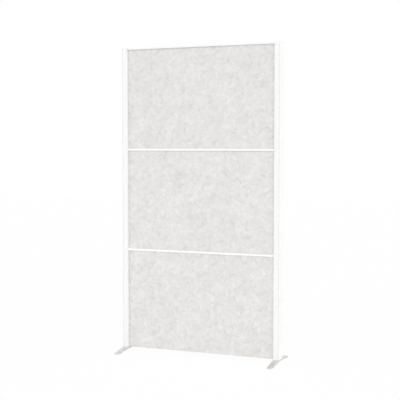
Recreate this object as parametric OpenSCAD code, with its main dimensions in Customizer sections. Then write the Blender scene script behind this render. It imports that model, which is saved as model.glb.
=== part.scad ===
// Free-standing acoustic divider screen. Two extruded posts on arched feet hold three
// felt-faced panels, parted and capped by slim rails.
// x runs along the screen, y from the front to the rear, z up. The origin is on the floor
// under the middle of the screen. The left half mirrors the right half.

/* [Overall] */
// Height from the floor to the top of the posts
overall_h = 1740; // [1500:10:2000]
// Width across the outer faces of both posts
overall_w = 942; // [700:2:1300]
// Height of the lower ends of the posts above the floor
foot_h = 21.5; // [20.5:0.5:40]

/* [Posts] */
// Width of a post, seen from the front
post_w = 33; // [31:1:45]
// Depth of a post, from its front face to its rear face
post_d = 66; // [62:1:80]
// Wall thickness of the post extrusion
post_wall = 1.8; // [1.4:0.1:2.2]
// Radius on the long outer corners of a post
post_corner_r = 3; // [1:0.5:3.5]
// Width of the fine groove down the front and rear of a post, beside its outer corners
groove_w = 0.8; // [0.4:0.1:1]
// Depth of that groove
groove_depth = 0.8; // [0.3:0.1:0.9]
// Distance from the outer side of a post to the middle of that groove
groove_inset = 4; // [4:0.5:8]
// Depth of the channel that takes the panels and rails
channel_depth = 14; // [12:0.5:15]
// Opening of the slot down the outer side, through which the rail screws are reached
slot_w = 12; // [11:0.5:14]
// Width of the strip that covers the slot
cover_w = 22; // [20:0.5:26]
// Thickness of the cover strip
cover_t = 1.2; // [1:0.1:1.6]
// Thickness of the plate of a post cap
cap_t = 3; // [2:0.5:4]
// Length of the pegs that hold a post cap
cap_peg_len = 15; // [10:1:25]

/* [Rails] */
// Visible height of the top rail, above the upper panel
top_rail_h = 8; // [7.5:0.5:14]
// Visible height of a divider rail, between two panels
divider_h = 11; // [8:0.5:16]
// Height of the bottom rail, hidden in the lower panel
bottom_rail_h = 12; // [11.5:0.5:16]
// How far the tongue of a rail reaches into a panel
tongue_h = 8; // [7:0.5:10]
// Wall thickness of the rail extrusions
rail_wall = 1.6; // [1.2:0.1:2]
// Radius on the long edges of the visible bars
rail_edge_r = 1; // [0.5:0.25:2]

/* [Panels] */
// Height of the lower edge of the panels above the lower ends of the posts
panel_lift = 2.5; // [1:0.5:10]
// Distance from the faces of the posts back to the faces of the panels
panel_recess = 11; // [5:0.5:12]
// Thickness of a felt face sheet
felt_t = 9; // [6:0.5:12]
// Thickness of the foam seal between a panel's edge and the post
seal_t = 2; // [1:0.5:3]

/* [Feet] */
// Length of a foot, from its front tip to its rear tip
foot_len = 315; // [280:5:400]
// How far the sides of a foot are set back from the sides of its post
foot_inset = 1.5; // [1:0.5:2.5]
// Thickness of a foot under the middle of the post
foot_centre_t = 11; // [7:0.5:14]
// Thickness of the flat tips of a foot
foot_tip_t = 6; // [3:0.5:7]
// Length of the flat tips of a foot
foot_tip_flat = 28; // [24:1:34]
// How far the flat seat of a foot runs past the faces of the post
foot_seat_margin = 14; // [4:1:20]
// Radius on the corners of a foot, seen from above
foot_corner_r = 9; // [2:0.5:11]
// Thickness of the rubber glides under the tips
glide_t = 2.5; // [2:0.5:3]
// Depth of the pocket that holds a glide
glide_pocket = 1; // [0.5:0.25:1.5]
// Width of a glide, across the foot
glide_w = 22; // [18:1:26]
// Length of a glide, along the foot
glide_len = 18; // [14:1:20]

/* [Fasteners] */
// Shank diameter of the screws
screw_d = 6; // [5:0.5:6]
// Head diameter of the screws
screw_head_d = 10; // [9:0.25:10.5]
// Head height of the screws
screw_head_h = 3.3; // [3:0.1:3.8]
// Shank length of the screws that hold the rails
rail_screw_len = 25; // [18:1:35]
// Shank length of the screws that hold the feet
foot_screw_len = 30; // [20:1:40]
// Wall thickness round a screw port
port_wall = 2; // [1.5:0.1:2.2]

/* [Fits] */
// Gap between pieces that slide into each other
fit_gap = 0.2; // [0.1:0.05:0.3]
// Radial gap round a shank or a peg in its bore
bore_gap = 0.1; // [0.05:0.05:0.2]

/* [Hidden] */
$fn = 64;

// Sides of the screen, and faces of a piece
left = -1;
right = 1;
front = -1;
rear = 1;
faces = [front, rear];

// Overrun of every cut past the faces that it opens
cut = 1;

// Places across the right post
outer_x = overall_w / 2;
inner_x = outer_x - post_w;
post_x = outer_x - post_w / 2;
web_x = inner_x + channel_depth;
box_x = web_x + post_wall;
inner_w = 2 * inner_x;
post_top_z = overall_h - cap_t;
post_len = post_top_z - foot_h;

// Slot and cover strip
land_t = cover_t + post_wall;
land_x = outer_x - land_t;
cover_leg_t = 1.4;
cover_leg_past = 1.4;
cover_barb = 0.6;

// Screws and the bores that take them
bore_d = screw_d + 2 * bore_gap;
port_d = bore_d + 2 * port_wall;
port_bite = port_wall / 3;
port_x = (box_x + outer_x - post_wall) / 2;
port_y = post_d / 2 - post_wall - port_d / 2 + port_bite;
key_d = screw_d * 2 / 3;
key_depth = screw_head_h * 2 / 3;

// Panels
panel_t = post_d - 2 * panel_recess;
core_t = panel_t - 2 * felt_t;
panel_half_w = web_x - seal_t;
channel_w = panel_t + 2 * fit_gap;
lip_t = (post_d - channel_w) / 2;
seal_w = core_t + felt_t;

// Bays, counted from the lowest
bays = 3;
lower = 0;
middle = 1;
upper = 2;
panel_z = foot_h + panel_lift;
bay_top_z = post_top_z - top_rail_h;
bay_h = (bay_top_z - panel_z - (bays - 1) * divider_h) / bays;
function bay_z(bay) = panel_z + bay * (bay_h + divider_h);
function tongue_below(bay) = bay == lower ? bottom_rail_h : tongue_h;

// Rails
tongue_w = core_t - 2 * fit_gap;
top_rail_end_z = post_top_z - fit_gap;
top_port_z = (bay_top_z - tongue_h + top_rail_end_z) / 2;
bottom_port_z = panel_z + bottom_rail_h / 2;
function divider_port_z(bay) = bay_z(bay) + bay_h + divider_h / 2;
rail_port_zs = [bottom_port_z, divider_port_z(lower), divider_port_z(middle), top_port_z];

// Feet
foot_w = post_w - 2 * foot_inset;
foot_stand = glide_t - glide_pocket;
foot_seat_y = post_d / 2 + foot_seat_margin;
foot_slope_y = foot_len / 2 - foot_tip_flat;
arch_top_z = foot_h - foot_centre_t;
arch_rise = arch_top_z - foot_stand;
// Enough sides for the wide arch to stay smooth
arch_fn = 720;
arch_r = (pow(foot_slope_y, 2) + pow(arch_rise, 2)) / (2 * arch_rise);
function arch_z(y) = arch_top_z - arch_r + sqrt(pow(arch_r, 2) - pow(y, 2));
head_sink = screw_head_h + port_bite;
head_bore_d = screw_head_d + 10 * bore_gap;
foot_head_z = arch_z(port_y) + head_sink;
glide_y = foot_len / 2 - foot_tip_flat / 2;
glide_corner_r = glide_len / 4;

// Finishes
frame_white = "#f4f4f2";
cap_white = "#ededeb";
felt_grey = "#e4e2e0";
core_white = "#f0efe6";
foot_grey = "#cfcdcc";
rubber_grey = "#5c5c5e";
seal_grey = "#9a9a9c";
steel = "#a9abad";

// Draws its children, which are those of the right side, on the given side
module on(side) {
    if (side == right) children();
    else mirror([1, 0, 0]) children();
}

// A rectangle with round corners about the origin
module rounded_rect(w, d, r) {
    square([w - 2 * r, d], center = true);
    square([w, d - 2 * r], center = true);
    for (x = [-1, 1], y = [-1, 1])
        translate([x * (w / 2 - r), y * (d / 2 - r)]) circle(r = r);
}

// Turns a section drawn in y and z into a bar along x about the middle of the screen
module along_x(length) {
    rotate([90, 0, 90]) linear_extrude(length, center = true) children();
}

// A socket head screw on the z axis, its seat at zero and its head below
module screw(length) {
    cylinder(d = screw_d, h = length);
    difference() {
        translate([0, 0, -screw_head_h]) cylinder(d = screw_head_d, h = screw_head_h);
        translate([0, 0, -screw_head_h - cut])
            cylinder(d = key_d, h = key_depth + cut, $fn = 6);
    }
}

// Outline of the right post, and of its cap
module post_outline() {
    translate([post_x, 0]) rounded_rect(post_w, post_d, post_corner_r);
}

// Places of the two long screw ports in the right post
module at_ports() {
    for (face = faces) translate([port_x, face * port_y]) children();
}

// Section of the right post: fine grooves, panel channel, hollow lips, box, side slot and ports
module post_section() {
    difference() {
        post_outline();
        for (face = faces)
            translate([outer_x - groove_inset, face * post_d / 2])
                square([groove_w, 2 * groove_depth], center = true);
        translate([inner_x - cut, -channel_w / 2]) square([channel_depth + cut, channel_w]);
        for (face = faces)
            translate([(inner_x + post_wall + web_x) / 2, face * (post_d - lip_t) / 2])
                square([channel_depth - post_wall, lip_t - 2 * post_wall], center = true);
        difference() {
            translate([box_x, post_wall - post_d / 2])
                square([outer_x - post_wall - box_x, post_d - 2 * post_wall]);
            translate([land_x, -cover_w / 2 - post_wall])
                square([land_t, cover_w + 2 * post_wall]);
            at_ports() circle(d = port_d);
        }
        translate([outer_x - cover_t, -cover_w / 2]) square([cover_t + cut, cover_w]);
        translate([land_x - cut, -slot_w / 2]) square([land_t + 2 * cut, slot_w]);
        at_ports() circle(d = bore_d);
    }
}

module post(side) {
    color(frame_white) on(side) difference() {
        translate([0, 0, foot_h]) linear_extrude(post_len) post_section();
        for (z = rail_port_zs)
            translate([web_x - cut, 0, z]) rotate([0, 90, 0])
                cylinder(d = bore_d, h = post_wall + 2 * cut);
    }
}

module post_cap(side) {
    color(cap_white) on(side) {
        translate([0, 0, post_top_z]) linear_extrude(cap_t) post_outline();
        translate([0, 0, post_top_z - cap_peg_len]) linear_extrude(cap_peg_len + cap_t / 2)
            at_ports() circle(d = screw_d);
    }
}

// Strip that snaps into the side slot with two barbed legs
module slot_cover(side) {
    leg_x = land_x - cover_leg_past;
    leg_y = slot_w / 2 - fit_gap;
    color(cap_white) on(side) translate([0, 0, foot_h]) linear_extrude(post_len) {
        translate([outer_x - cover_t, fit_gap - cover_w / 2])
            square([cover_t, cover_w - 2 * fit_gap]);
        for (turn = [0, 1]) mirror([0, turn]) {
            translate([leg_x, leg_y - cover_leg_t])
                square([outer_x - cover_t / 2 - leg_x, cover_leg_t]);
            translate([leg_x, leg_y - cover_leg_t / 2])
                square([cover_leg_past - fit_gap, cover_leg_t / 2 + fit_gap + cover_barb]);
        }
    }
}

// Outline of a rail in y and z: a visible bar, where it has one, and a tongue
module rail_outline(bar, tongue) {
    if (bar[1] > bar[0])
        translate([0, (bar[0] + bar[1]) / 2])
            rounded_rect(post_d, bar[1] - bar[0], rail_edge_r);
    translate([-tongue_w / 2, tongue[0]]) square([tongue_w, tongue[1] - tongue[0]]);
}

// Hollow of a rail: one cell in the tongue, and one in each flange of the bar
module rail_hollow(bar, tongue) {
    flange = (post_d - tongue_w) / 2;
    translate([rail_wall - tongue_w / 2, tongue[0] + rail_wall])
        square([tongue_w - 2 * rail_wall, tongue[1] - tongue[0] - 2 * rail_wall]);
    if (bar[1] > bar[0])
        for (face = faces)
            translate([face * (post_d - flange - rail_wall) / 2, (bar[0] + bar[1]) / 2])
                square([flange - rail_wall, bar[1] - bar[0] - 2 * rail_wall], center = true);
}

// Section of a rail, with a screw port on a rib in its middle
module rail_section(bar, tongue, port_z) {
    difference() {
        rail_outline(bar, tongue);
        difference() {
            rail_hollow(bar, tongue);
            translate([0, port_z]) circle(d = port_d);
            translate([-rail_wall / 2, tongue[0]]) square([rail_wall, tongue[1] - tongue[0]]);
        }
        translate([0, port_z]) circle(d = bore_d);
    }
}

// A rail whose bar spans between the posts and whose notched ends run to the posts' webs
module rail(bar, tongue, port_z, end_top_z) {
    end_w = channel_w - 2 * fit_gap;
    color(frame_white) {
        along_x(inner_w) rail_section(bar, tongue, port_z);
        along_x(inner_w + 2 * channel_depth) intersection() {
            rail_section(bar, tongue, port_z);
            translate([-end_w / 2, foot_h]) square([end_w, end_top_z - foot_h]);
        }
    }
}

module top_rail() {
    rail([bay_top_z, post_top_z], [bay_top_z - tongue_h, post_top_z], top_port_z, top_rail_end_z);
}

// The divider rail above the given bay
module divider_rail(bay) {
    z = bay_z(bay) + bay_h;
    rail([z, z + divider_h], [z - tongue_h, z + divider_h + tongue_h], divider_port_z(bay), overall_h);
}

module bottom_rail() {
    rail([panel_z, panel_z], [panel_z, panel_z + bottom_rail_h], bottom_port_z, overall_h);
}

// Felt face sheet of a bay
module felt(bay, face) {
    color(felt_grey)
        translate([-panel_half_w, face == front ? -panel_t / 2 : panel_t / 2 - felt_t, bay_z(bay)])
            cube([2 * panel_half_w, felt_t, bay_h - fit_gap]);
}

// Absorbing core of a bay, set back at its top and bottom for the tongues of the rails
module core(bay) {
    low = tongue_below(bay);
    color(core_white)
        translate([-panel_half_w, -core_t / 2, bay_z(bay) + low])
            cube([2 * panel_half_w, core_t, bay_h - low - tongue_h - fit_gap]);
}

// Foam strips between the panels' edges and the web of a post, one for each bay
module edge_seals(side) {
    color(seal_grey) on(side) for (bay = [lower, middle, upper]) {
        low = tongue_below(bay);
        translate([panel_half_w, -seal_w / 2, bay_z(bay) + low + fit_gap])
            cube([seal_t, seal_w, bay_h - low - tongue_h - 2 * fit_gap]);
    }
}

// Screws through the web of a post into the ends of the rails
module rail_screws(side) {
    color(steel) on(side) for (z = rail_port_zs)
        translate([box_x, 0, z]) rotate([0, -90, 0]) screw(rail_screw_len);
}

// Side view of a foot in y and z: flat tips, straight slopes, a flat seat and an arch below
module foot_profile() {
    tip_z = foot_stand + foot_tip_t;
    difference() {
        polygon([
            [-foot_len / 2, foot_stand], [-foot_len / 2, tip_z], [-foot_slope_y, tip_z],
            [-foot_seat_y, foot_h], [foot_seat_y, foot_h],
            [foot_slope_y, tip_z], [foot_len / 2, tip_z], [foot_len / 2, foot_stand]
        ]);
        translate([0, arch_top_z - arch_r]) circle(r = arch_r, $fn = arch_fn);
    }
}

// Places of the glides under the two tips of the right foot
module at_glides() {
    for (face = faces) translate([post_x, face * glide_y]) children();
}

module foot(side) {
    color(foot_grey) on(side) difference() {
        intersection() {
            translate([post_x, 0, 0]) along_x(foot_w) foot_profile();
            translate([post_x, 0, 0]) linear_extrude(foot_h + cut)
                rounded_rect(foot_w, foot_len, foot_corner_r);
        }
        at_ports() cylinder(d = bore_d, h = foot_h + cut);
        at_ports() cylinder(d = head_bore_d, h = foot_head_z);
        translate([0, 0, foot_stand - cut]) linear_extrude(glide_pocket + cut) at_glides()
            rounded_rect(glide_w + 2 * fit_gap, glide_len + 2 * fit_gap, glide_corner_r);
    }
}

// Screws through a foot into the ports of its post
module foot_screws(side) {
    color(steel) on(side) translate([0, 0, foot_head_z]) at_ports() screw(foot_screw_len);
}

module foot_glides(side) {
    color(rubber_grey) on(side) linear_extrude(glide_t) at_glides()
        rounded_rect(glide_w, glide_len, glide_corner_r);
}

post(left);  // left_post
post(right);  // right_post
post_cap(left);  // left_post_cap
post_cap(right);  // right_post_cap
slot_cover(left);  // left_slot_cover
slot_cover(right);  // right_slot_cover
top_rail();
divider_rail(middle);  // upper_divider_rail
divider_rail(lower);  // lower_divider_rail
bottom_rail();
felt(upper, front);  // upper_front_felt
core(upper);  // upper_core
felt(upper, rear);  // upper_rear_felt
felt(middle, front);  // middle_front_felt
core(middle);  // middle_core
felt(middle, rear);  // middle_rear_felt
felt(lower, front);  // lower_front_felt
core(lower);  // lower_core
felt(lower, rear);  // lower_rear_felt
edge_seals(left);  // left_edge_seals
edge_seals(right);  // right_edge_seals
rail_screws(left);  // left_rail_screws
rail_screws(right);  // right_rail_screws
foot(left);  // left_foot
foot(right);  // right_foot
foot_screws(left);  // left_foot_screws
foot_screws(right);  // right_foot_screws
foot_glides(left);  // left_foot_glides
foot_glides(right);  // right_foot_glides
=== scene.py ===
"""Acoustic divider screen: felt panels in a white coated frame that stands on two cast feet."""
import math

import bmesh
import bpy
from mathutils import Matrix, Vector, noise


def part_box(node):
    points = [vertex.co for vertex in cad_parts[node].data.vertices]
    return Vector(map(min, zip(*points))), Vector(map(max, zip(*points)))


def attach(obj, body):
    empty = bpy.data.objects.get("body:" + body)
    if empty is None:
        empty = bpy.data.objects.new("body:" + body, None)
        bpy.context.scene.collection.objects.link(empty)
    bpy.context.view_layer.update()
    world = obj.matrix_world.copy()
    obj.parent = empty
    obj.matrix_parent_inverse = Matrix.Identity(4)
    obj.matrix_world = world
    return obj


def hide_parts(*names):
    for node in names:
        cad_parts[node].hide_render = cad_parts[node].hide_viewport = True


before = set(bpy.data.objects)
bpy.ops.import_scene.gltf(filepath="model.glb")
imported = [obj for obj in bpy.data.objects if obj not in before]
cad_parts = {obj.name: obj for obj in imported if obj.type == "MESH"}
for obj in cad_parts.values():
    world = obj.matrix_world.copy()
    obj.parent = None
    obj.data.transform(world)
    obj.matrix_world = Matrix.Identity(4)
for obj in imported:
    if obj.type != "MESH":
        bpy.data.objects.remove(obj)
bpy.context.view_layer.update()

MM = 0.001
BODY = "root"
SIDES = ("left", "right")
BAYS = ("upper", "middle", "lower")
FACES = ("front", "rear")
WHITE = (1.0, 1.0, 1.0, 1.0)

# Camera
CAMERA_PLACE = Vector((1.9305, -4.7845, 1.1809))
CAMERA_AZIMUTH = 22.008
CAMERA_PITCH = 3.316
LENS_MM = 83.147
SENSOR_MM = 36.0

# Studio
FLOOR_SIZE = 30.0
FLOOR_WHITE = "#ffffff"
FLOOR_GLOW_SHARE = 0.94
SKY_LEVEL = 0.65
# Two key lamps in front, one from each side, and a fill lamp at the right end of the screen
KEY_LEVEL = 0.225
KEY_ANGLE = 40.0
KEY_AZIMUTHS = {"left_key": -50.0, "right_key": 50.0}
KEY_HEIGHT = 17.0
FILL_LEVEL = 0.182
FILL_ANGLE = 50.0
FILL_AZIMUTH = 97.0
FILL_HEIGHT = 35.0

# Mesh work
MERGE_GAP = 0.01 * MM
FLAT_ANGLE = math.radians(0.3)
KINK_ANGLE = math.radians(5)
SHARP_ANGLE = math.radians(25)
SMOOTH_ANGLE = math.radians(32)
EDGE_STEPS = 2

# How far the sharp edges of each kind of piece are eased
EXTRUSION_EDGE = 0.2 * MM
SCREW_EDGE = 0.2 * MM
GLIDE_EDGE = 0.4 * MM
CAP_EDGE = 0.5 * MM
FOAM_EDGE = 0.5 * MM
FOOT_EDGE = 0.8 * MM
FELT_EDGE = 0.8 * MM
BOARD_EDGE = 1 * MM

# Fine grooves down the front and the rear of the posts, a little in from their outer sides
GROOVE_INSET = 4 * MM
GROOVE_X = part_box("right_post")[1].x - GROOVE_INSET
# Half the width of the painted shade along each groove
GROOVE_SHADE_REACH = 0.45 * MM

# Feet. A tip's upper side lies at FOOT_TIP_TOP above the floor, and the shade painted on the tips
# reaches a little higher.
# A kink runs across a foot from side to side, where a slope meets a tip or the seat
FOOT_TIP_TOP = 7.5 * MM
FOOT_TIP_SHADE_REACH = 6 * MM
FOOT_KINK_LENGTH = 10 * MM
FOOT_BLEND = 9 * MM
FOOT_BLEND_STEPS = 6

# Felt sheets, as a grid of cells. A point whose normal faces out at least this far is moved
FELT_CELL = 5 * MM
FELT_EDGE_STEPS = 3
FELT_FACING = 0.9
# Depth of the relief, how far of it the sheet is sunk as a whole, and how far each pattern swings
FELT_RELIEF = 0.3 * MM
FELT_RELIEF_MIDDLE = 0.5
FELT_RELIEF_SWING = 0.35
FELT_SWELL_SIZE = 38 * MM
FELT_TUFT_SIZE = 13 * MM

# Mottle of the felt. Clouds and tufts have a size and a weight, and strands lie several ways
FELT_CLOUDS = ((60 * MM, 0.5), (24 * MM, 0.46))
STRAND_WIDTH = 15 * MM
STRAND_LENGTH = 38 * MM
STRAND_WEIGHT = 0.4
STRAND_WAYS = 4
# A strand is dark where its noise is low and light where it is high, with plain felt between
STRAND_DARK = 0.26
STRAND_PLAIN = (0.4, 0.6)
STRAND_LIGHT = 0.74
STRAND_LIGHT_LEVEL = 0.9
NOISE_MIDDLE = 0.5

# Sockets of a Mix node that mixes two colours
FIRST_COLOUR = 6
SECOND_COLOUR = 7
MIXED_COLOUR = 2


def linear(hex_colour):
    """Turn an sRGB hex colour into the linear colour that the shaders work in."""
    shares = [int(hex_colour[i:i + 2], 16) / 255 for i in (1, 3, 5)]
    return [s / 12.92 if s <= 0.04045 else ((s + 0.055) / 1.055) ** 2.4 for s in shares] + [1.0]


def add_node(tree, kind, settings=None, links=None):
    """Add a node. Settings are its properties or the values of its inputs, links feed its inputs."""
    node = tree.nodes.new(kind)
    for key, value in (settings or {}).items():
        if isinstance(key, str) and hasattr(node, key):
            setattr(node, key, value)
        else:
            node.inputs[key].default_value = value
    for key, output in (links or {}).items():
        tree.links.new(output, node.inputs[key])
    return node


def new_material(name, colour, **values):
    """Start a material in a plain finish, which its patterns then vary. Returns its shader too."""
    material = bpy.data.materials.new(name)
    material.use_nodes = True
    tree = material.node_tree
    tree.nodes.clear()
    settings = {"Base Color": linear(colour), **values}
    shader = add_node(tree, "ShaderNodeBsdfPrincipled", settings)
    add_node(tree, "ShaderNodeOutputMaterial", links={"Surface": shader.outputs["BSDF"]})
    return material, tree, shader


def add_bump(tree, shader, height, strength, depth):
    """Feed a height pattern to the shader's normal. Depth is the pattern's real depth in metres."""
    settings = {"Strength": strength, "Distance": depth}
    bump = add_node(tree, "ShaderNodeBump", settings, {"Height": height})
    tree.links.new(bump.outputs["Normal"], shader.inputs["Normal"])


def new_object(name, data):
    """Put a mesh, a lamp or the camera into the scene."""
    made = bpy.data.objects.new(name, data)
    bpy.context.scene.collection.objects.link(made)
    return made


def object_from(bm, name):
    """Turn a finished bmesh into an object at the origin."""
    mesh = bpy.data.meshes.new(name)
    bm.to_mesh(mesh)
    bm.free()
    return new_object(name, mesh)


def outwards(azimuth, height):
    """The way from the screen to a lamp or the camera, in degrees right of the front and upwards."""
    a, h = math.radians(azimuth), math.radians(height)
    return Vector((math.sin(a) * math.cos(h), -math.cos(a) * math.cos(h), math.sin(h)))


def make_camera():
    """The photograph's camera, as fitted to the corners of the screen and of its feet."""
    data = bpy.data.cameras.new("camera")
    data.sensor_width = SENSOR_MM
    data.lens = LENS_MM
    camera = new_object("camera", data)
    look = -outwards(CAMERA_AZIMUTH, CAMERA_PITCH)
    camera.location = CAMERA_PLACE
    camera.rotation_euler = look.to_track_quat("-Z", "Y").to_euler()
    bpy.context.scene.camera = camera


def make_sun(name, level, angle, azimuth, height):
    """A soft lamp, far away. At level 1 a surface that faces it looks as bright as its own colour."""
    data = bpy.data.lights.new(name, "SUN")
    data.energy = math.pi * level
    data.angle = math.radians(angle)
    lamp = new_object(name, data)
    lamp.rotation_euler = outwards(azimuth, height).to_track_quat("Z", "Y").to_euler()


def seen_directly(tree):
    """Gives 1 where the eye, a mirror or a glass sees the surface, and 0 for its light on others."""
    path = add_node(tree, "ShaderNodeLightPath")
    seen = path.outputs["Is Camera Ray"]
    for name in ("Is Glossy Ray", "Is Transmission Ray"):
        both = {0: seen, 1: path.outputs[name]}
        seen = add_node(tree, "ShaderNodeMath", {"operation": "MAXIMUM"}, both).outputs[0]
    return seen


def make_world():
    """Even white surroundings: pure white to the eye, a plain level as light."""
    world = bpy.data.worlds.new("studio")
    world.use_nodes = True
    bpy.context.scene.world = world
    tree = world.node_tree
    tree.nodes.clear()
    light = add_node(tree, "ShaderNodeBackground", {"Color": WHITE, "Strength": SKY_LEVEL})
    white = add_node(tree, "ShaderNodeBackground", {"Color": WHITE, "Strength": 1.0})
    links = {0: seen_directly(tree), 1: light.outputs[0], 2: white.outputs[0]}
    mix = add_node(tree, "ShaderNodeMixShader", links=links)
    add_node(tree, "ShaderNodeOutputWorld", links={"Surface": mix.outputs[0]})


def make_floor():
    """A matt white floor that keeps a light shadow of the screen."""
    bm = bmesh.new()
    bmesh.ops.create_grid(bm, x_segments=1, y_segments=1, size=FLOOR_SIZE / 2)
    floor = object_from(bm, "studio_floor")
    material, tree, shader = new_material("matt_white_floor", FLOOR_WHITE, Roughness=0.9)
    glow = add_node(tree, "ShaderNodeEmission", {"Color": WHITE, "Strength": 1.0})
    settings = {"operation": "MULTIPLY", 1: FLOOR_GLOW_SHARE}
    share = add_node(tree, "ShaderNodeMath", settings, {0: seen_directly(tree)})
    links = {0: share.outputs[0], 1: shader.outputs[0], 2: glow.outputs[0]}
    mix = add_node(tree, "ShaderNodeMixShader", links=links)
    output = next(n for n in tree.nodes if n.bl_idname == "ShaderNodeOutputMaterial")
    tree.links.new(mix.outputs[0], output.inputs["Surface"])
    floor.data.materials.append(material)


def white_powder_coat(name, colour):
    """Polyester powder coat baked on extruded aluminium: a soft gloss over a faint orange peel."""
    material, tree, shader = new_material(name, colour, Roughness=0.42, IOR=1.5)
    place = add_node(tree, "ShaderNodeTexCoord").outputs["Object"]
    # Orange peel is about 1.5 mm across and a few micrometres deep, drawn deeper so that it shows
    settings = {"Scale": 1 / (1.5 * MM), "Detail": 1.0}
    peel = add_node(tree, "ShaderNodeTexNoise", settings, {"Vector": place})
    add_bump(tree, shader, peel.outputs["Fac"], strength=0.15, depth=0.015 * MM)
    # The coat's thickness drifts over some 120 mm and takes the gloss with it
    settings = {"Scale": 1 / (120 * MM), "Detail": 2.0}
    drift = add_node(tree, "ShaderNodeTexNoise", settings, {"Vector": place})
    settings = {"To Min": 0.36, "To Max": 0.48}
    gloss = add_node(tree, "ShaderNodeMapRange", settings, {"Value": drift.outputs["Fac"]})
    tree.links.new(gloss.outputs[0], shader.inputs["Roughness"])
    # Painted shade: the coat is painted greyer along the fine grooves of the posts, where shade falls
    across = add_node(tree, "ShaderNodeSeparateXYZ", links={0: place}).outputs["X"]
    aside = add_node(tree, "ShaderNodeMath", {"operation": "ABSOLUTE"}, {0: across})
    settings = {"operation": "COMPARE", 1: GROOVE_X, 2: GROOVE_SHADE_REACH}
    painted_groove_shade = add_node(tree, "ShaderNodeMath", settings, {0: aside.outputs[0]})
    settings = {"data_type": "RGBA", FIRST_COLOUR: linear(colour), SECOND_COLOUR: linear("#e0dfdd")}
    tint = add_node(tree, "ShaderNodeMix", settings, {0: painted_groove_shade.outputs[0]})
    tree.links.new(tint.outputs[MIXED_COLOUR], shader.inputs["Base Color"])
    return material


def white_abs():
    """ABS, injection moulded or extruded: slightly softer than the coat, with a fine eroded grain."""
    material, tree, shader = new_material("white_abs", "#f6f6f5", Roughness=0.5, IOR=1.53)
    place = add_node(tree, "ShaderNodeTexCoord").outputs["Object"]
    # Spark eroded grain, about 0.4 mm, drawn at 0.8 mm so that it shows
    settings = {"Scale": 1 / (0.8 * MM), "Detail": 2.0}
    grain = add_node(tree, "ShaderNodeTexNoise", settings, {"Vector": place})
    add_bump(tree, shader, grain.outputs["Fac"], strength=0.2, depth=0.03 * MM)
    return material


def cast_aluminium():
    """Cast aluminium, blasted and lacquered: an even satin grey, fine in grit, with shade painted on
    the tips.
    """
    values = {"Metallic": 1.0, "Roughness": 0.5}
    material, tree, shader = new_material("blasted_cast_aluminium", "#dfdedd", **values)
    place = add_node(tree, "ShaderNodeTexCoord").outputs["Object"]
    # Blasting leaves dimples of about 0.3 mm, drawn at 0.9 mm so that they show
    settings = {"Scale": 1 / (0.9 * MM), "Detail": 3.0}
    grit = add_node(tree, "ShaderNodeTexNoise", settings, {"Vector": place})
    add_bump(tree, shader, grit.outputs["Fac"], strength=0.25, depth=0.04 * MM)
    # The melt leaves faint clouds, some 25 mm across
    settings = {"Scale": 1 / (25 * MM), "Detail": 3.0}
    cloud = add_node(tree, "ShaderNodeTexNoise", settings, {"Vector": place})
    settings = {"data_type": "RGBA", FIRST_COLOUR: linear("#dad9d8"), SECOND_COLOUR: linear("#e3e2e1")}
    tint = add_node(tree, "ShaderNodeMix", settings, {0: cloud.outputs["Fac"]})
    # Painted shade: the tips, the lowest stretches of the feet near the floor, are painted darker
    height = add_node(tree, "ShaderNodeSeparateXYZ", links={0: place}).outputs["Z"]
    settings = {"From Min": FOOT_TIP_TOP, "From Max": FOOT_TIP_TOP + FOOT_TIP_SHADE_REACH}
    above_tip_shade = add_node(tree, "ShaderNodeMapRange", settings, {"Value": height})
    settings = {"data_type": "RGBA", FIRST_COLOUR: linear("#d9d8d7")}
    links = {0: above_tip_shade.outputs[0], SECOND_COLOUR: tint.outputs[MIXED_COLOUR]}
    tip_shade = add_node(tree, "ShaderNodeMix", settings, links)
    tree.links.new(tip_shade.outputs[MIXED_COLOUR], shader.inputs["Base Color"])
    return material


def zinc_plated_steel():
    """Zinc plated steel: a cool, bright metal whose heads keep the rings of the lathe."""
    values = {"Metallic": 1.0, "Roughness": 0.3}
    material, tree, shader = new_material("zinc_plated_steel", "#c3c6c8", **values)
    place = add_node(tree, "ShaderNodeTexCoord").outputs["Object"]
    # Turning marks, about 0.2 mm apart, drawn at 0.5 mm so that they show
    settings = {"Scale": 1 / (0.5 * MM), "Detail": 2.0}
    marks = add_node(tree, "ShaderNodeTexNoise", settings, {"Vector": place})
    settings = {"To Min": 0.24, "To Max": 0.42}
    gloss = add_node(tree, "ShaderNodeMapRange", settings, {"Value": marks.outputs["Fac"]})
    tree.links.new(gloss.outputs[0], shader.inputs["Roughness"])
    return material


def moulded_rubber(name, colour, grain_mm):
    """Moulded rubber or cellular foam: matt, with a fine grain."""
    material, tree, shader = new_material(name, colour, Roughness=0.85, IOR=1.52)
    place = add_node(tree, "ShaderNodeTexCoord").outputs["Object"]
    settings = {"Scale": 1 / (grain_mm * MM), "Detail": 3.0}
    grain = add_node(tree, "ShaderNodeTexNoise", settings, {"Vector": place})
    add_bump(tree, shader, grain.outputs["Fac"], strength=0.4, depth=0.08 * MM)
    return material


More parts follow.
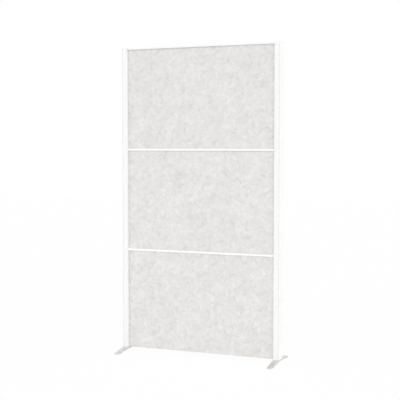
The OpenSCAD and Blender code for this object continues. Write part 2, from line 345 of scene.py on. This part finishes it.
def polyester_felt():
    """Needled polyester felt from mixed fibres: matt, marbled in tufts, flecks and clouds."""
    values = {"Roughness": 0.95, "IOR": 1.45, "Specular IOR Level": 0.2}
    sheen = {"Sheen Weight": 0.05, "Sheen Roughness": 0.6}
    material, tree, shader = new_material("polyester_felt", "#e3e1e0", **values, **sheen)
    place = add_node(tree, "ShaderNodeTexCoord").outputs["Object"]
    layers = []
    for size, weight in FELT_CLOUDS:
        settings = {"Scale": 1 / size, "Detail": 2.0, "Roughness": 0.55, "Distortion": 0.4}
        cloud = add_node(tree, "ShaderNodeTexNoise", settings, {"Vector": place})
        layers.append((cloud.outputs["Fac"], weight))
    # Strands of lighter and darker fibre. Each way is shifted, so that no two look alike
    stretch = {"operation": "MULTIPLY", 1: (1 / STRAND_WIDTH, 1 / STRAND_WIDTH, 1 / STRAND_LENGTH)}
    for way in range(STRAND_WAYS):
        turn = math.radians(180 / STRAND_WAYS * way)
        settings = {"Rotation": (0, turn, 0), "Location": (way, 2 * way, 3 * way)}
        turned = add_node(tree, "ShaderNodeMapping", settings, {"Vector": place})
        scaled = add_node(tree, "ShaderNodeVectorMath", stretch, {0: turned.outputs[0]})
        settings = {"Scale": 1.0, "Detail": 1.0, "Distortion": 0.6}
        strand = add_node(tree, "ShaderNodeTexNoise", settings, {"Vector": scaled.outputs[0]})
        ramp = add_node(tree, "ShaderNodeValToRGB", links={0: strand.outputs["Fac"]})
        stops = ramp.color_ramp.elements
        stops[0].position = STRAND_DARK
        stops[0].color = (0, 0, 0, 1)
        stops[1].position = STRAND_LIGHT
        stops[1].color = (STRAND_LIGHT_LEVEL, STRAND_LIGHT_LEVEL, STRAND_LIGHT_LEVEL, 1)
        for position in STRAND_PLAIN:
            stops.new(position).color = (NOISE_MIDDLE, NOISE_MIDDLE, NOISE_MIDDLE, 1)
        layers.append((ramp.outputs["Color"], STRAND_WEIGHT))
    # Each layer is taken round its middle, weighed and added to those before it
    total = None
    for output, weight in layers:
        settings = {"operation": "SUBTRACT", 1: NOISE_MIDDLE}
        centred = add_node(tree, "ShaderNodeMath", settings, {0: output})
        settings = {"operation": "MULTIPLY_ADD", 1: weight, 2: NOISE_MIDDLE}
        links = {0: centred.outputs[0]}
        if total is not None:
            links[2] = total
        total = add_node(tree, "ShaderNodeMath", settings, links).outputs[0]
    settings = {"data_type": "RGBA", FIRST_COLOUR: linear("#d1cfce"), SECOND_COLOUR: linear("#f2f0ee")}
    tint = add_node(tree, "ShaderNodeMix", settings, {0: total})
    tree.links.new(tint.outputs[MIXED_COLOUR], shader.inputs["Base Color"])
    # Fibres are about 0.03 mm thick, drawn as a nap of 1.2 mm so that it shows
    settings = {"Scale": 1 / (1.2 * MM), "Detail": 4.0, "Roughness": 0.7}
    nap = add_node(tree, "ShaderNodeTexNoise", settings, {"Vector": place})
    add_bump(tree, shader, nap.outputs["Fac"], strength=0.6, depth=0.25 * MM)
    return material


def absorber_board():
    """Light absorbing board of pressed fibre: cream, coarse and matt."""
    material, tree, shader = new_material("pressed_absorber_board", "#efece0", Roughness=1.0)
    place = add_node(tree, "ShaderNodeTexCoord").outputs["Object"]
    # Bundles of pressed fibre are about 3 mm across
    settings = {"Scale": 1 / (3 * MM), "Detail": 4.0}
    fibre = add_node(tree, "ShaderNodeTexNoise", settings, {"Vector": place})
    settings = {"data_type": "RGBA", FIRST_COLOUR: linear("#e2ddcc"), SECOND_COLOUR: linear("#f7f5ec")}
    tint = add_node(tree, "ShaderNodeMix", settings, {0: fibre.outputs["Fac"]})
    tree.links.new(tint.outputs[MIXED_COLOUR], shader.inputs["Base Color"])
    add_bump(tree, shader, fibre.outputs["Fac"], strength=0.6, depth=0.4 * MM)
    return material


def merged_copy(node):
    """A CAD node's mesh with its doubles merged and its flat faces joined."""
    bm = bmesh.new()
    bm.from_mesh(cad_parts[node].data)
    bmesh.ops.remove_doubles(bm, verts=bm.verts[:], dist=MERGE_GAP)
    bmesh.ops.dissolve_limit(bm, angle_limit=FLAT_ANGLE, verts=bm.verts[:], edges=bm.edges[:])
    return bm


def sharp_edges(bm):
    """The edges where two faces meet at a clear angle."""
    return [e for e in bm.edges if e.is_manifold and e.calc_face_angle() > SHARP_ANGLE]


def ease(bm, edges, radius, steps):
    """Round edges off."""
    bmesh.ops.bevel(
        bm, geom=edges, offset=radius, offset_type="OFFSET", affect="EDGES",
        segments=steps, profile=0.5, material=-1, clamp_overlap=False, loop_slide=True,
    )


def finish_piece(piece, material, node):
    """Dress a piece, shade it, let it ride on the body and hide the CAD node it stands for."""
    piece.data.materials.clear()
    piece.data.materials.append(material)
    piece.data.shade_smooth()
    piece.data.set_sharp_from_angle(angle=SMOOTH_ANGLE)
    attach(piece, BODY)
    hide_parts(node)


def even_shading(piece):
    """Keep wide faces flat to the eye beside their eased edges."""
    modifier = piece.modifiers.new("even_shading", "WEIGHTED_NORMAL")
    modifier.keep_sharp = True


def eased_piece(node, name, material, radius):
    """A copy of a CAD node whose sharp edges are eased, as coating, casting or moulding leaves them."""
    bm = merged_copy(node)
    ease(bm, sharp_edges(bm), radius, EDGE_STEPS)
    piece = object_from(bm, name)
    finish_piece(piece, material, node)
    even_shading(piece)


def foot_casting(side, material):
    """A foot with its slopes blended into the tips and the seat, and all its edges eased."""
    node = f"{side}_foot"
    bm = merged_copy(node)
    kinks = [
        e for e in bm.edges
        if e.is_manifold and KINK_ANGLE < e.calc_face_angle() < SHARP_ANGLE
        and abs(e.verts[0].co.x - e.verts[1].co.x) > FOOT_KINK_LENGTH
    ]
    ease(bm, kinks, FOOT_BLEND, FOOT_BLEND_STEPS)
    ease(bm, sharp_edges(bm), FOOT_EDGE, EDGE_STEPS)
    piece = object_from(bm, f"{side}_foot_casting")
    finish_piece(piece, material, node)
    even_shading(piece)


def felt_sheet(bay, face, material, seed):
    """A felt sheet with soft cut edges, and a shallow uneven relief on the side that shows."""
    node = f"{bay}_{face}_felt"
    low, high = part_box(node)
    width, depth, height = high - low
    middle = (low + high) / 2
    out = -1 if face == "front" else 1
    outer_y = low.y if face == "front" else high.y
    # A flat grid is turned upright, scaled to the sheet and put where its outer face lies
    turn = Matrix.Rotation(math.radians(90), 4, "X")
    scale = Matrix.Diagonal((width, 1, height, 1))
    move = Matrix.Translation((middle.x, outer_y, middle.z))
    columns, rows = round(width / FELT_CELL), round(height / FELT_CELL)
    bm = bmesh.new()
    upright = move @ scale @ turn
    bmesh.ops.create_grid(bm, x_segments=columns, y_segments=rows, size=0.5, matrix=upright)
    inner = bmesh.ops.extrude_face_region(bm, geom=bm.faces[:])["geom"]
    moved = [v for v in inner if isinstance(v, bmesh.types.BMVert)]
    bmesh.ops.translate(bm, verts=moved, vec=(0, -out * depth, 0))
    bmesh.ops.recalc_face_normals(bm, faces=bm.faces[:])
    ease(bm, sharp_edges(bm), FELT_EDGE, FELT_EDGE_STEPS)
    # Only the outer face gets the relief
    shift = Vector((0, 0, seed))
    for v in bm.verts:
        if v.normal.y * out > FELT_FACING:
            swell = FELT_RELIEF_SWING * noise.noise(v.co / FELT_SWELL_SIZE + shift)
            tuft = FELT_RELIEF_SWING * noise.noise(v.co / FELT_TUFT_SIZE - shift)
            v.co.y -= out * FELT_RELIEF * (FELT_RELIEF_MIDDLE + swell + tuft)
    piece = object_from(bm, f"{node}_sheet")
    finish_piece(piece, material, node)


make_camera()
make_world()
make_floor()
for name, azimuth in KEY_AZIMUTHS.items():
    make_sun(name, KEY_LEVEL, KEY_ANGLE, azimuth, KEY_HEIGHT)
make_sun("fill", FILL_LEVEL, FILL_ANGLE, FILL_AZIMUTH, FILL_HEIGHT)

coat = white_powder_coat("white_powder_coat", "#f4f4f3")
bright_coat = white_powder_coat("bright_white_powder_coat", "#fbfbfa")
plastic = white_abs()
felt = polyester_felt()
board = absorber_board()
casting = cast_aluminium()
steel = zinc_plated_steel()
foam = moulded_rubber("cellular_foam_strip", "#9a9a9c", grain_mm=1.0)
rubber = moulded_rubber("moulded_rubber", "#5a5a5c", grain_mm=0.7)

seed = 0
for bay in BAYS:
    for face in FACES:
        seed += 1
        felt_sheet(bay, face, felt, seed)
    eased_piece(f"{bay}_core", f"{bay}_core_board", board, BOARD_EDGE)

for side in SIDES:
    eased_piece(f"{side}_post", f"{side}_post_extrusion", coat, EXTRUSION_EDGE)
    eased_piece(f"{side}_post_cap", f"{side}_post_cap_moulding", plastic, CAP_EDGE)
    eased_piece(f"{side}_slot_cover", f"{side}_cover_strip", plastic, EXTRUSION_EDGE)
    eased_piece(f"{side}_edge_seals", f"{side}_foam_strips", foam, FOAM_EDGE)
    eased_piece(f"{side}_rail_screws", f"{side}_rail_screw_set", steel, SCREW_EDGE)
    eased_piece(f"{side}_foot_screws", f"{side}_foot_screw_set", steel, SCREW_EDGE)
    eased_piece(f"{side}_foot_glides", f"{side}_glide_pads", rubber, GLIDE_EDGE)
    foot_casting(side, casting)

for rail in ("top_rail", "bottom_rail"):
    eased_piece(rail, f"{rail}_extrusion", coat, EXTRUSION_EDGE)
for rail in ("upper_divider_rail", "lower_divider_rail"):
    eased_piece(rail, f"{rail}_extrusion", bright_coat, EXTRUSION_EDGE)

bpy.context.scene.view_settings.view_transform = "Standard"
